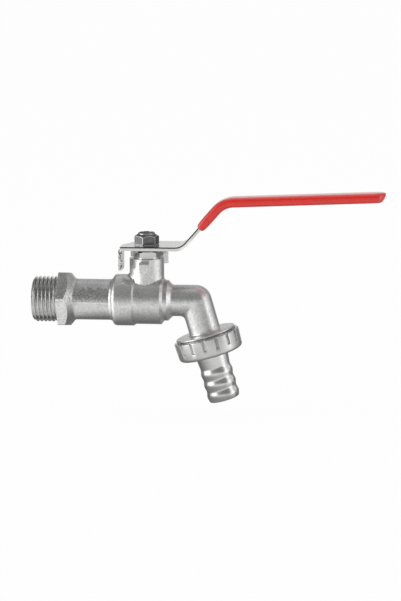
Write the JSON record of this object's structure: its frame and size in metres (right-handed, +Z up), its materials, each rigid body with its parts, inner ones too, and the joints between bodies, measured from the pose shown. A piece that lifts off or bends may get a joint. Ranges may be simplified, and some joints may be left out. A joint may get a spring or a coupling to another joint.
{
  "type": "hose tap",
  "caption": "Quarter-turn ball tap with a threaded inlet, a long red-sleeved lever, a bent spout, a union nut and a ribbed hose tail.",
  "frame": {"origin": "on the inlet axis, where the inlet thread meets its hexagon", "axes": "+X along the inlet axis towards the spout, +Z up along the stem, -Y towards the viewer"},
  "size_m": [0.1605, 0.0304, 0.0975],
  "materials": {
    "nickel_cast": "nickel-plated forging, satin",
    "nickel_turned": "nickel-plated, turned, semi-gloss",
    "nickel_satin": "nickel-plated, satin",
    "bare_brass": "turned",
    "chromed_ball": "chromed, polished",
    "seat_plastic": "smooth",
    "seal_rubber": "matte",
    "plated_steel": "zinc-plated sheet, semi-gloss",
    "red_vinyl": "dipped, glossy",
    "nut_steel": "plated, glossy",
    "nylon": "smooth"
  },
  "bodies": {
    "valve": {"valve_body": "nickel_cast", "inlet_connector": "nickel_turned", "body_seal_ring": "seal_rubber", "seat_ring_inlet": "seat_plastic", "seat_ring_outlet": "seat_plastic", "thrust_washer": "seat_plastic", "stem_packing": "seat_plastic", "gland_nut": "nickel_turned"},
    "handle": {"lever": "plated_steel", "lever_sleeve": "red_vinyl", "lever_nut": "nut_steel", "nut_insert": "nylon", "stem": "bare_brass", "stem_o_ring": "seal_rubber", "ball": "chromed_ball"},
    "washer": {"hose_washer": "seal_rubber"},
    "nut": {"union_nut": "nickel_satin"},
    "tail": {"hose_tail": "nickel_turned"}
  },
  "joints": [
    {"name": "lever_turn", "type": "hinge", "parent": "valve", "child": "handle", "pos_m": [0.0402, 0, 0], "axis": [0, 0, 1], "range_deg": [-90, 0]},
    {"name": "washer_travel", "type": "slide", "parent": "valve", "child": "washer", "axis": [0.2756, 0, -0.9613], "range_m": [0, 0.00453]},
    {"name": "union_nut_turn", "type": "hinge", "parent": "washer", "child": "nut", "pos_m": [0.0626, 0, 0], "axis": [0.2756, 0, -0.9613], "range_deg": [0, 900]},
    {"name": "tail_swivel", "type": "hinge", "parent": "washer", "child": "tail", "pos_m": [0.0626, 0, 0], "axis": [0.2756, 0, -0.9613], "continuous": true}
  ],
  "couplings": [
    {"joint": "union_nut_turn", "follows": "washer_travel", "rad_per_m": 3463.7}
  ]
}
